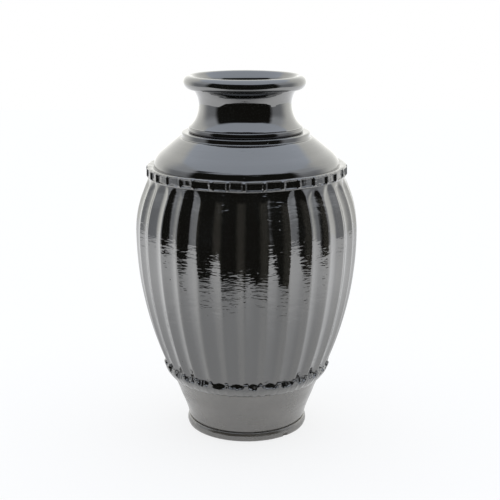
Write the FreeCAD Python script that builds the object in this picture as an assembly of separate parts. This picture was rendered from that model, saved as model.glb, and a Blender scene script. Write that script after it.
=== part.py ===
"""A black clay pot with a rolled lip, a waisted neck and a fluted belly between two pressed coils.

The pot is built by hand from sections of wet clay, and each section is its own piece. A floor slab lies
inside a foot ring. On the ring stand a conical foot wall, the fluted belly, the shoulder, a collar, the
neck and the rolled lip. Where two walls meet, the lower one is bevelled on its inside and the upper one
sits in that bevel. A pressed coil covers each end of the belly outside, and a smoothed coil seals each
end of it inside. Another one seals the corner between the floor and the wall.

Frame: millimetres, +Z up, origin at the centre of the circle that the foot ring stands on.
Outlines are drawn in the XZ plane, where x is the distance from the pot's axis, and are turned about Z.
"""

import FreeCAD, Part
import math
import os
from FreeCAD import Vector

# Heights of the sections, from the foot up. Each stands on the one before it.
FOOT_RING_HEIGHT = 10.0
FOOT_WALL_HEIGHT = 52.0
LOWER_BELLY_HEIGHT = 167.0
UPPER_BELLY_HEIGHT = 67.0
SHOULDER_HEIGHT = 42.0
COLLAR_HEIGHT = 6.0
LOWER_NECK_HEIGHT = 23.0
UPPER_NECK_HEIGHT = 18.0
LIP_HEIGHT = 14.0

# Outer radii, from the foot up.
FOOT_RING_RADIUS = 68.3
FOOT_WALL_BASE_RADIUS = 66.4
FOOT_JOINT_RADIUS = 85.5
BELLY_RADIUS = 123.7
SHOULDER_JOINT_RADIUS = 102.6
COLLAR_RADIUS = 62.8
NECK_BASE_RADIUS = 61.1
NECK_WAIST_RADIUS = 50.9
NECK_TOP_RADIUS = 57.3
LIP_CREST_RADIUS = 59.5
LIP_RADIUS = 67.0

# Walls, floor, and how far a joint's bevel drops from the outside of the wall to its inside.
WALL = 8.0
NECK_WALL = 7.0
FLOOR_THICKNESS = 10.0
FLOOR_RECESS = 2.5
BEVEL_DROP = 6.0

# Rounded sides: how far each stands out past its lower and its upper edge.
FOOT_RING_LOWER_ROUND = 3.0
FOOT_RING_UPPER_ROUND = 1.8
COLLAR_LOWER_ROUND = 0.8
COLLAR_UPPER_ROUND = 1.5
LIP_THROAT_ROUND = 2.5

# Shoulder: a knee above the joint, a straight slope, and a low upright rim round its flat top.
KNEE_HEIGHT = 17.0
KNEE_INSET = 5.9
SLOPE_TOP_RADIUS = 72.5
RIM_RADIUS = 70.2
RIM_HEIGHT = 4.6
SHOULDER_EDGE = 7.0

# Flutes, pressed into the belly with a round gouge that runs out towards both coils.
FLUTE_COUNT = 31
GOUGE_RADIUS = 35.0
FLUTE_DEPTH = 2.8
LOWER_FLUTE_END_DEPTH = 1.6
UPPER_FLUTE_END_DEPTH = 1.2
FLUTE_END_GAP = 4.0

# Upper pressed coil: a flat strip round the shoulder joint, with finger presses all the way round.
UPPER_COIL_BELOW = 5.0
UPPER_COIL_ABOVE = 6.0
UPPER_COIL_THICKNESS = 7.8
UPPER_COIL_LOWER_EDGE = 3.0
UPPER_COIL_LOWER_ROUND = 0.6
UPPER_COIL_UPPER_ROUND = 3.0
UPPER_PRESSES = 36
UPPER_PRESS_RADIUS = 22.0
UPPER_PRESS_DEPTH = 1.6

# Lower pressed coil: a thinner strip on the slope round the foot joint.
LOWER_COIL_BELOW = 4.0
LOWER_COIL_ABOVE = 16.0
LOWER_COIL_THICKNESS = 3.4
LOWER_COIL_EDGE = 1.4
LOWER_PRESSES = 31
LOWER_PRESS_RADIUS = 18.0
LOWER_PRESS_DEPTH = 1.8

# Smoothed coils inside: the one in the floor's corner, and the two over the belly's ends.
CORNER_COIL_SIZE = 12.0
CORNER_COIL_HOLLOW = 2.5
SEAM_COIL_REACH = 9.0
SEAM_COIL_THICKNESS = 4.0

# Heights of the joints above the ground.
FOOT_TOP = FOOT_RING_HEIGHT
FLOOR_TOP = FLOOR_RECESS + FLOOR_THICKNESS
FOOT_JOINT = FOOT_TOP + FOOT_WALL_HEIGHT
BELLY_MIDDLE = FOOT_JOINT + LOWER_BELLY_HEIGHT
SHOULDER_JOINT = BELLY_MIDDLE + UPPER_BELLY_HEIGHT
SHOULDER_TOP = SHOULDER_JOINT + SHOULDER_HEIGHT
NECK_BASE = SHOULDER_TOP + COLLAR_HEIGHT
NECK_WAIST = NECK_BASE + LOWER_NECK_HEIGHT
NECK_TOP = NECK_WAIST + UPPER_NECK_HEIGHT
LIP_TOP = NECK_TOP + LIP_HEIGHT

UP = Vector(0, 0, 1)
ORIGIN = Vector(0, 0, 0)


def point(radius, height):
    """The point of an outline at this radius and height."""
    return Vector(radius, 0, height)


def line(start, end):
    """A straight edge."""
    return Part.LineSegment(start, end).toShape()


def arc(start, end, rise):
    """A round edge whose middle stands out by the rise, to the right of the way from start to end."""
    along = (end - start).normalize()
    middle = (start + end) * 0.5 + Vector(along.z, 0, -along.x) * rise
    return Part.Arc(start, middle, end).toShape()


class Slope:
    """A straight stretch of wall through a low and a high point."""

    def __init__(self, low, high):
        self.low = low
        self.run = high - low

    def at(self, height):
        share = (height - self.low.z) / self.run.z
        return self.low + self.run * share

    def edge(self, start_height, end_height):
        return line(self.at(start_height), self.at(end_height))

    def inwards(self):
        """The direction square to the wall that points into the pot."""
        return Vector(-self.run.z, 0, self.run.x).normalize()

    def inset(self, thickness):
        """The same slope moved into the pot by a wall's thickness."""
        low = self.low + self.inwards() * thickness
        return Slope(low, low + self.run)

    def curve_below(self, end):
        """The curve that leaves the slope's foot without a corner and ends at a lower point."""
        chord = end - self.low
        radius = chord.Length**2 / (2 * chord.dot(self.inwards()))
        return Curve(self.low + self.inwards() * radius, radius)


class Curve:
    """A round stretch of wall: a circle about a centre, on its outer side (1) or its inner side (-1)."""

    def __init__(self, centre, radius, side=1):
        self.centre = centre
        self.radius = radius
        self.side = side

    def at(self, height):
        rise = height - self.centre.z
        return point(self.centre.x + self.side * math.sqrt(self.radius**2 - rise**2), height)

    def edge(self, start_height, end_height):
        start = self.at(start_height)
        end = self.at(end_height)
        to_middle = (start + end) * 0.5 - self.centre
        middle = self.centre + to_middle.normalize() * self.radius
        return Part.Arc(start, middle, end).toShape()

    def inset(self, thickness):
        """The same curve moved into the pot by a wall's thickness."""
        return Curve(self.centre, self.radius - self.side * thickness, self.side)


def bulge(turning_point, other):
    """The curve that runs upright through its widest or narrowest point, and ends at another point."""
    across = turning_point.x - other.x
    rise = turning_point.z - other.z
    radius = (across**2 + rise**2) / (2 * abs(across))
    side = math.copysign(1, across)
    return Curve(point(turning_point.x - side * radius, turning_point.z), radius, side)


def rounded_side(radius, low, high, lower_round, upper_round):
    """A round outer edge that is widest halfway up and drops back at its lower and its upper end."""
    start = point(radius - lower_round, low)
    widest = point(radius, (low + high) / 2)
    end = point(radius - upper_round, high)
    return Part.Arc(start, widest, end).toShape()


def press(face, depth, press_radius):
    """A round finger laid against a coil's outer face, which sinks into it to a depth."""
    start = face.low - face.inwards() * (press_radius - depth)
    return Part.makeCylinder(press_radius, face.run.Length, start, face.run)


def turned(outline):
    """The solid that a closed outline sweeps when it is turned once about the pot's axis."""
    return Part.Face(Part.Wire(outline)).revolve(ORIGIN, UP, 360)


def cut_around(solid, tool, count):
    """The solid after the tool has been pressed into it at evenly spaced places about the pot's axis."""
    for index in range(count):
        copy = tool.copy()
        copy.rotate(ORIGIN, UP, index * 360.0 / count)
        solid = solid.cut(copy)
    return solid.Solids[0]


# The wall's outlines. Each inner one is its outer one moved in by the wall.
foot_outside = Slope(point(FOOT_WALL_BASE_RADIUS, FOOT_TOP), point(FOOT_JOINT_RADIUS, FOOT_JOINT))
foot_inside = foot_outside.inset(WALL)
floor_radius = foot_inside.at(FOOT_TOP).x
foot_bevel_end = foot_inside.at(FOOT_JOINT - BEVEL_DROP)

widest_point = point(BELLY_RADIUS, BELLY_MIDDLE)
lower_belly_outside = bulge(widest_point, point(FOOT_JOINT_RADIUS, FOOT_JOINT))
upper_belly_outside = bulge(widest_point, point(SHOULDER_JOINT_RADIUS, SHOULDER_JOINT))
lower_belly_inside = lower_belly_outside.inset(WALL)
upper_belly_inside = upper_belly_outside.inset(WALL)
belly_bevel_end = upper_belly_inside.at(SHOULDER_JOINT - BEVEL_DROP)

slope_low = point(SHOULDER_JOINT_RADIUS - KNEE_INSET, SHOULDER_JOINT + KNEE_HEIGHT)
slope_high = point(SLOPE_TOP_RADIUS, SHOULDER_TOP - RIM_HEIGHT)
slope_outside = Slope(slope_low, slope_high)
knee_outside = slope_outside.curve_below(point(SHOULDER_JOINT_RADIUS, SHOULDER_JOINT))
knee_inside = knee_outside.inset(WALL)
slope_low_inside = slope_outside.inset(WALL).low

waist_point = point(NECK_WAIST_RADIUS, NECK_WAIST)
lower_neck_outside = bulge(waist_point, point(NECK_BASE_RADIUS, NECK_BASE))
upper_neck_outside = bulge(waist_point, point(NECK_TOP_RADIUS, NECK_TOP))
lower_neck_inside = lower_neck_outside.inset(NECK_WALL)
upper_neck_inside = upper_neck_outside.inset(NECK_WALL)
neck_bore = lower_neck_inside.at(NECK_BASE).x


def base_slab():
    """The floor: a round slab let into the foot ring, a little above the ground."""
    return Part.makeCylinder(floor_radius, FLOOR_THICKNESS, point(0, FLOOR_RECESS))


def foot_ring():
    """The ring that the pot stands on, with a rounded side."""
    side = rounded_side(
        FOOT_RING_RADIUS, 0, FOOT_TOP, FOOT_RING_LOWER_ROUND, FOOT_RING_UPPER_ROUND
    )
    low = point(FOOT_RING_RADIUS - FOOT_RING_LOWER_ROUND, 0)
    high = point(FOOT_RING_RADIUS - FOOT_RING_UPPER_ROUND, FOOT_TOP)
    inner_high = point(floor_radius, FOOT_TOP)
    inner_low = point(floor_radius, 0)
    return turned([side, line(high, inner_high), line(inner_high, inner_low), line(inner_low, low)])


def floor_corner_coil():
    """The smoothed coil in the corner between the floor and the foot wall, with a hollow face."""
    corner = point(floor_radius, FOOT_TOP)
    floor_edge = point(floor_radius, FLOOR_TOP)
    on_floor = point(floor_radius - CORNER_COIL_SIZE, FLOOR_TOP)
    on_wall = foot_inside.at(FLOOR_TOP + CORNER_COIL_SIZE)
    return turned(
        [
            line(corner, floor_edge),
            line(floor_edge, on_floor),
            arc(on_floor, on_wall, CORNER_COIL_HOLLOW),
            line(on_wall, corner),
        ]
    )


def foot_wall():
    """The plain cone between the foot ring and the belly, bevelled at its top."""
    return turned(
        [
            foot_outside.edge(FOOT_TOP, FOOT_JOINT),
            line(foot_outside.at(FOOT_JOINT), foot_bevel_end),
            line(foot_bevel_end, foot_inside.at(FOOT_TOP)),
            line(foot_inside.at(FOOT_TOP), foot_outside.at(FOOT_TOP)),
        ]
    )


def belly_blank():
    """The belly before it is fluted: it sits in the foot wall's bevel, and is bevelled for the shoulder."""
    return turned(
        [
            lower_belly_outside.edge(FOOT_JOINT, BELLY_MIDDLE),
            upper_belly_outside.edge(BELLY_MIDDLE, SHOULDER_JOINT),
            line(upper_belly_outside.at(SHOULDER_JOINT), belly_bevel_end),
            upper_belly_inside.edge(belly_bevel_end.z, BELLY_MIDDLE),
            lower_belly_inside.edge(BELLY_MIDDLE, FOOT_JOINT),
            line(lower_belly_inside.at(FOOT_JOINT), foot_bevel_end),
            line(foot_bevel_end, lower_belly_outside.at(FOOT_JOINT)),
        ]
    )


def flute_cutter(wall, end_height, end_depth):
    """A round gouge on a round path, deepest at the belly's middle and shallower at the flute's end."""
    middle = wall.at(BELLY_MIDDLE) - Vector(FLUTE_DEPTH, 0, 0)
    path = bulge(middle, wall.inset(end_depth).at(end_height))
    gouge_centre = middle + Vector(GOUGE_RADIUS, 0, 0)
    gouge = Part.Face(Part.Wire(Part.Circle(gouge_centre, UP, GOUGE_RADIUS).toShape()))
    turn = math.degrees(math.asin((end_height - BELLY_MIDDLE) / path.radius))
    return gouge.revolve(path.centre, Vector(0, -1, 0), turn)


def fluted_belly():
    """The belly, with upright flutes side by side all round, between the two pressed coils."""
    low_end = FOOT_JOINT + LOWER_COIL_ABOVE + FLUTE_END_GAP
    high_end = SHOULDER_JOINT - UPPER_COIL_BELOW - FLUTE_END_GAP
    lower_cutter = flute_cutter(lower_belly_outside, low_end, LOWER_FLUTE_END_DEPTH)
    upper_cutter = flute_cutter(upper_belly_outside, high_end, UPPER_FLUTE_END_DEPTH)
    lower_fluted = cut_around(belly_blank(), lower_cutter, FLUTE_COUNT)
    return cut_around(lower_fluted, upper_cutter, FLUTE_COUNT)


def lower_pressed_coil():
    """The thin strip laid round the foot joint, partly on the foot wall and partly on the belly."""
    low = foot_outside.at(FOOT_JOINT - LOWER_COIL_BELOW)
    high = lower_belly_outside.at(FOOT_JOINT + LOWER_COIL_ABOVE)
    outer_low = low + Vector(LOWER_COIL_EDGE, 0, 0)
    outer_high = high + Vector(LOWER_COIL_EDGE, 0, 0)
    roundness = LOWER_COIL_THICKNESS - LOWER_COIL_EDGE
    strip = turned(
        [
            line(low, outer_low),
            arc(outer_low, outer_high, roundness),
            line(outer_high, high),
            lower_belly_outside.edge(high.z, FOOT_JOINT),
            foot_outside.edge(FOOT_JOINT, low.z),
        ]
    )
    face = Slope(outer_low, outer_high).inset(-roundness)
    return cut_around(strip, press(face, LOWER_PRESS_DEPTH, LOWER_PRESS_RADIUS), LOWER_PRESSES)


def upper_pressed_coil():
    """The upright strip laid round the shoulder joint, partly on the belly and partly on the shoulder.

    Its reach is its thickness at the joint, or the least thickness of its lower edge on a fuller belly.
    """
    low = upper_belly_outside.at(SHOULDER_JOINT - UPPER_COIL_BELOW)
    high = knee_outside.at(SHOULDER_JOINT + UPPER_COIL_ABOVE)
    radius = max(SHOULDER_JOINT_RADIUS + UPPER_COIL_THICKNESS, low.x + UPPER_COIL_LOWER_EDGE)
    strip = turned(
        [
            line(low, point(radius - UPPER_COIL_LOWER_ROUND, low.z)),
            rounded_side(radius, low.z, high.z, UPPER_COIL_LOWER_ROUND, UPPER_COIL_UPPER_ROUND),
            line(point(radius - UPPER_COIL_UPPER_ROUND, high.z), high),
            knee_outside.edge(high.z, SHOULDER_JOINT),
            upper_belly_outside.edge(SHOULDER_JOINT, low.z),
        ]
    )
    face = Slope(point(radius, low.z), point(radius, high.z))
    return cut_around(strip, press(face, UPPER_PRESS_DEPTH, UPPER_PRESS_RADIUS), UPPER_PRESSES)


def smoothed_face(high, joint_high, joint_low, low):
    """The round face of a smoothed coil, which stands its thickness in from the middle of the joint."""
    middle = (joint_high + joint_low) * 0.5 - Vector(SEAM_COIL_THICKNESS, 0, 0)
    return Part.Arc(high, middle, low).toShape()


def foot_seam_coil():
    """The coil smoothed over the foot joint from inside, half on the foot wall and half on the belly."""
    low = foot_inside.at(foot_bevel_end.z - SEAM_COIL_REACH)
    high = lower_belly_inside.at(FOOT_JOINT + SEAM_COIL_REACH)
    belly_start = lower_belly_inside.at(FOOT_JOINT)
    return turned(
        [
            line(low, foot_bevel_end),
            line(foot_bevel_end, belly_start),
            lower_belly_inside.edge(FOOT_JOINT, high.z),
            smoothed_face(high, belly_start, foot_bevel_end, low),
        ]
    )


def shoulder_seam_coil():
    """The coil smoothed over the shoulder joint from inside, half on the belly and half on the shoulder."""
    low = upper_belly_inside.at(belly_bevel_end.z - SEAM_COIL_REACH)
    high = knee_inside.at(SHOULDER_JOINT + SEAM_COIL_REACH)
    knee_start = knee_inside.at(SHOULDER_JOINT)
    return turned(
        [
            upper_belly_inside.edge(low.z, belly_bevel_end.z),
            line(belly_bevel_end, knee_start),
            knee_inside.edge(SHOULDER_JOINT, high.z),
            smoothed_face(high, knee_start, belly_bevel_end, low),
        ]
    )


def shoulder():
    """The knee and the slope above the belly, with a low upright rim and a flat top for the collar."""
    rim_low = point(RIM_RADIUS, slope_high.z)
    rim_high = point(RIM_RADIUS, SHOULDER_TOP)
    bore_high = point(neck_bore, SHOULDER_TOP)
    bore_low = point(neck_bore, SHOULDER_TOP - SHOULDER_EDGE)
    return turned(
        [
            knee_outside.edge(SHOULDER_JOINT, slope_low.z),
            line(slope_low, slope_high),
            line(slope_high, rim_low),
            line(rim_low, rim_high),
            line(rim_high, bore_high),
            line(bore_high, bore_low),
            line(bore_low, slope_low_inside),
            knee_inside.edge(slope_low_inside.z, SHOULDER_JOINT),
            line(knee_inside.at(SHOULDER_JOINT), belly_bevel_end),
            line(belly_bevel_end, knee_outside.at(SHOULDER_JOINT)),
        ]
    )


def neck_collar():
    """The flat ring on the shoulder that the neck stands on."""
    side = rounded_side(
        COLLAR_RADIUS, SHOULDER_TOP, NECK_BASE, COLLAR_LOWER_ROUND, COLLAR_UPPER_ROUND
    )
    bore_high = point(neck_bore, NECK_BASE)
    bore_low = point(neck_bore, SHOULDER_TOP)
    return turned(
        [
            side,
            line(point(COLLAR_RADIUS - COLLAR_UPPER_ROUND, NECK_BASE), bore_high),
            line(bore_high, bore_low),
            line(bore_low, point(COLLAR_RADIUS - COLLAR_LOWER_ROUND, SHOULDER_TOP)),
        ]
    )


def neck():
    """The waisted tube between the collar and the lip."""
    return turned(
        [
            lower_neck_outside.edge(NECK_BASE, NECK_WAIST),
            upper_neck_outside.edge(NECK_WAIST, NECK_TOP),
            line(upper_neck_outside.at(NECK_TOP), upper_neck_inside.at(NECK_TOP)),
            upper_neck_inside.edge(NECK_TOP, NECK_WAIST),
            lower_neck_inside.edge(NECK_WAIST, NECK_BASE),
            line(lower_neck_inside.at(NECK_BASE), lower_neck_outside.at(NECK_BASE)),
        ]
    )


def rolled_lip():
    """The thick rounded rim of the mouth, which leads into the throat as a shallow funnel."""
    outer_low = upper_neck_outside.at(NECK_TOP)
    inner_low = upper_neck_inside.at(NECK_TOP)
    widest = point(LIP_RADIUS, NECK_TOP + LIP_HEIGHT / 2)
    crest = point(LIP_CREST_RADIUS, LIP_TOP)
    return turned(
        [
            Part.Arc(outer_low, widest, crest).toShape(),
            arc(crest, inner_low, LIP_THROAT_ROUND),
            line(inner_low, outer_low),
        ]
    )


PIECES = [
    base_slab,
    foot_ring,
    floor_corner_coil,
    foot_wall,
    foot_seam_coil,
    lower_pressed_coil,
    fluted_belly,
    shoulder_seam_coil,
    upper_pressed_coil,
    shoulder,
    neck_collar,
    neck,
    rolled_lip,
]

os.makedirs("parts", exist_ok=True)
for piece in PIECES:
    piece().exportStep(f"parts/{piece.__name__}.step")
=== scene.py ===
"""The finish of a glossy black clay pot: fluted belly, finger-pressed coils, rolled lip, black glaze.

Lengths are metres in the part's own frame: +Z up, the foot ring stands on z = 0. Heights and the largest
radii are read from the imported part, and every piece stands in the place of its own solid.
"""

import logging
import math
from dataclasses import dataclass, field
from enum import Enum
from typing import Mapping, Sequence, Union

import bpy
import numpy as np
from mathutils import Euler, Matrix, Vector


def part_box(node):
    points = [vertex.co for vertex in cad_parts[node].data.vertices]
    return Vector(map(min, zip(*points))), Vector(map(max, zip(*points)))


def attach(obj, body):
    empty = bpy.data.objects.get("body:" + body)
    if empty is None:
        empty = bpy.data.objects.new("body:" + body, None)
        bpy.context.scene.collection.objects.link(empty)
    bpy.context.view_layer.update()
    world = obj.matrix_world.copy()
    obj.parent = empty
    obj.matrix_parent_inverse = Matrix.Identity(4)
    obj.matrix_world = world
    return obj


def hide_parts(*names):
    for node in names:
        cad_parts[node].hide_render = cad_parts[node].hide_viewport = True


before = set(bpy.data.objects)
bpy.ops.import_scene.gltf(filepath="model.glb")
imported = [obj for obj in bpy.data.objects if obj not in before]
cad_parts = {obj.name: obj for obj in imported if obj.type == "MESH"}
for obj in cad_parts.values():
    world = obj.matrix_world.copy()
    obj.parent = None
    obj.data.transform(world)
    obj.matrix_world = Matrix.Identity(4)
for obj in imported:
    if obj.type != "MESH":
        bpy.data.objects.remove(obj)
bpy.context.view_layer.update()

MM = 0.001
TURN = 2 * math.pi
BODY = "root"
CURVE_STEPS = 24
ON_AXIS = 1e-9

log = logging.getLogger("clay_pot")

Point = tuple[float, float]
Number = Union["Value", float]
Axes = tuple["Value", "Value", "Value"]


# ---------------------------------------------------------------------------------------------------
# Node graphs
# ---------------------------------------------------------------------------------------------------


class Value:
    """A number socket of a node graph. Python's operators on it add the Math nodes."""

    def __init__(self, graph: "Graph", socket: bpy.types.NodeSocket) -> None:
        """Keeps the socket and the graph that it belongs to."""
        self.graph = graph
        self.socket = socket

    def __add__(self, other: Number) -> "Value":
        """self + other."""
        return self.graph.math("ADD", self, other)

    def __radd__(self, other: Number) -> "Value":
        """other + self."""
        return self.graph.math("ADD", other, self)

    def __sub__(self, other: Number) -> "Value":
        """self - other."""
        return self.graph.math("SUBTRACT", self, other)

    def __rsub__(self, other: Number) -> "Value":
        """other - self."""
        return self.graph.math("SUBTRACT", other, self)

    def __mul__(self, other: Number) -> "Value":
        """self * other."""
        return self.graph.math("MULTIPLY", self, other)

    def __rmul__(self, other: Number) -> "Value":
        """other * self."""
        return self.graph.math("MULTIPLY", other, self)

    def __truediv__(self, other: Number) -> "Value":
        """self / other."""
        return self.graph.math("DIVIDE", self, other)

    def __rtruediv__(self, other: Number) -> "Value":
        """other / self."""
        return self.graph.math("DIVIDE", other, self)

    def __pow__(self, other: Number) -> "Value":
        """self ** other."""
        return self.graph.math("POWER", self, other)

    def __neg__(self) -> "Value":
        """-self."""
        return self.graph.math("MULTIPLY", self, -1.0)

    def __abs__(self) -> "Value":
        """The value without its sign."""
        return self.graph.math("ABSOLUTE", self)


class Graph:
    """A node tree with short ways to add nodes to it."""

    def __init__(self, tree: bpy.types.NodeTree) -> None:
        """Empties the tree, so that only what is added here is in it."""
        self.tree = tree
        tree.nodes.clear()

    def node(
        self,
        kind: str,
        settings: Mapping[str, object] | None = None,
        sockets: Mapping[str | int, object] | None = None,
    ) -> bpy.types.Node:
        """Adds a node.

        Args:
            kind: the node's type.
            settings: its properties, which are set before its sockets.
            sockets: a value or a link for each input, by identifier, name or place.

        Returns:
            The new node.
        """
        made = self.tree.nodes.new(kind)
        for name, setting in (settings or {}).items():
            setattr(made, name, setting)
        for name, given in (sockets or {}).items():
            self._feed(self._input(made, name), given)
        return made

    @staticmethod
    def _input(node: bpy.types.Node, name: str | int) -> bpy.types.NodeSocket:
        """Finds a node's input.

        Args:
            node: the node.
            name: the input's identifier, name or place.

        Returns:
            The input.
        """
        if isinstance(name, int):
            return node.inputs[name]
        for socket in node.inputs:
            if socket.identifier == name:
                return socket
        return node.inputs[name]

    def _feed(self, socket: bpy.types.NodeSocket, given: object) -> None:
        """Links a socket, or sets its value.

        Args:
            socket: the input to feed.
            given: a value, an output to link, or a plain setting.
        """
        if isinstance(given, Value):
            self.tree.links.new(given.socket, socket)
        elif isinstance(given, bpy.types.NodeSocket):
            self.tree.links.new(given, socket)
        else:
            socket.default_value = given

    def math(self, operation: str, *numbers: Number) -> Value:
        """Adds a Math node and returns its result."""
        made = self.node("ShaderNodeMath", {"operation": operation}, dict(enumerate(numbers)))
        return Value(self, made.outputs[0])

    def axes(self, vector: bpy.types.NodeSocket) -> Axes:
        """Returns a vector's three numbers."""
        made = self.node("ShaderNodeSeparateXYZ", sockets={0: vector})
        return tuple(Value(self, made.outputs[i]) for i in range(3))

    def vector(self, x: Number, y: Number, z: Number) -> bpy.types.NodeSocket:
        """Returns the vector of three numbers."""
        return self.node("ShaderNodeCombineXYZ", sockets={0: x, 1: y, 2: z}).outputs[0]

    def ramp(self, value: Number, low: Number, high: Number) -> Value:
        """Adds a smooth rise.

        Args:
            value: what rises.
            low: where the rise starts, at 0.
            high: where it ends, at 1.

        Returns:
            The rise, which stays at 0 and at 1 outside its ends.
        """
        made = self.node(
            "ShaderNodeMapRange",
            {"interpolation_type": "SMOOTHSTEP"},
            {"Value": value, "From Min": low, "From Max": high},
        )
        return Value(self, made.outputs["Result"])

    def noise(
        self, place: bpy.types.NodeSocket, scale: Number, detail: float = 2.0, roughness: float = 0.5
    ) -> Value:
        """Adds smooth noise.

        Args:
            place: where the noise is read.
            scale: how many features there are along one unit of place.
            detail: how many finer layers are added.
            roughness: how strong each finer layer is beside the one before it.

        Returns:
            The noise, from 0 to 1.
        """
        made = self.node(
            "ShaderNodeTexNoise",
            {"noise_dimensions": "3D"},
            {"Vector": place, "Scale": scale, "Detail": detail, "Roughness": roughness},
        )
        return Value(self, made.outputs[0])

    def blend(
        self, factor: Number, first: Sequence[float] | object, second: Sequence[float] | object
    ) -> bpy.types.NodeSocket:
        """Mixes two colours.

        Args:
            factor: how much of the second colour there is, from 0 to 1.
            first: a colour, or a link to one.
            second: a colour, or a link to one.

        Returns:
            The mixed colour.
        """
        sockets = {"Factor_Float": factor, "A_Color": first, "B_Color": second}
        made = self.node("ShaderNodeMix", {"data_type": "RGBA"}, sockets)
        return [s for s in made.outputs if s.identifier == "Result_Color"][0]


# ---------------------------------------------------------------------------------------------------
# Finishes
# ---------------------------------------------------------------------------------------------------


def colour(red: float, green: float, blue: float) -> tuple[float, float, float, float]:
    """Returns an opaque colour."""
    return (red, green, blue, 1.0)


@dataclass(frozen=True)
class Coating:
    """What every finish has: a name, which the log shows, its title, and a way to build it."""

    name: str
    title: str

    def material(self) -> bpy.types.Material:
        """Builds the finish.

        Returns:
            The new material, whose patterns lie on the piece's own place in the pot.
        """
        made = bpy.data.materials.new(self.title)
        made.use_nodes = True
        graph = Graph(made.node_tree)
        place = graph.node("ShaderNodeTexCoord").outputs["Object"]
        sockets, height, strength = self.surface(graph, place, graph.axes(place))
        bump = graph.node("ShaderNodeBump", sockets={"Strength": strength, "Distance": MM, "Height": height})
        shader = graph.node("ShaderNodeBsdfPrincipled", sockets={**sockets, "Normal": bump.outputs[0]})
        graph.node("ShaderNodeOutputMaterial", sockets={"Surface": shader.outputs[0]})
        return made

    def surface(
        self, graph: Graph, place: bpy.types.NodeSocket, axes: Axes
    ) -> tuple[dict[str, object], Value, float]:
        """Draws the finish, which each kind of finish does in its own way.

        Args:
            graph: the material's graph.
            place: a point's place in the pot.
            axes: the three numbers of that place.

        Returns:
            The shader's inputs, the relief in millimetres, and how strongly the relief shows.
        """
        raise NotImplementedError


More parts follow.
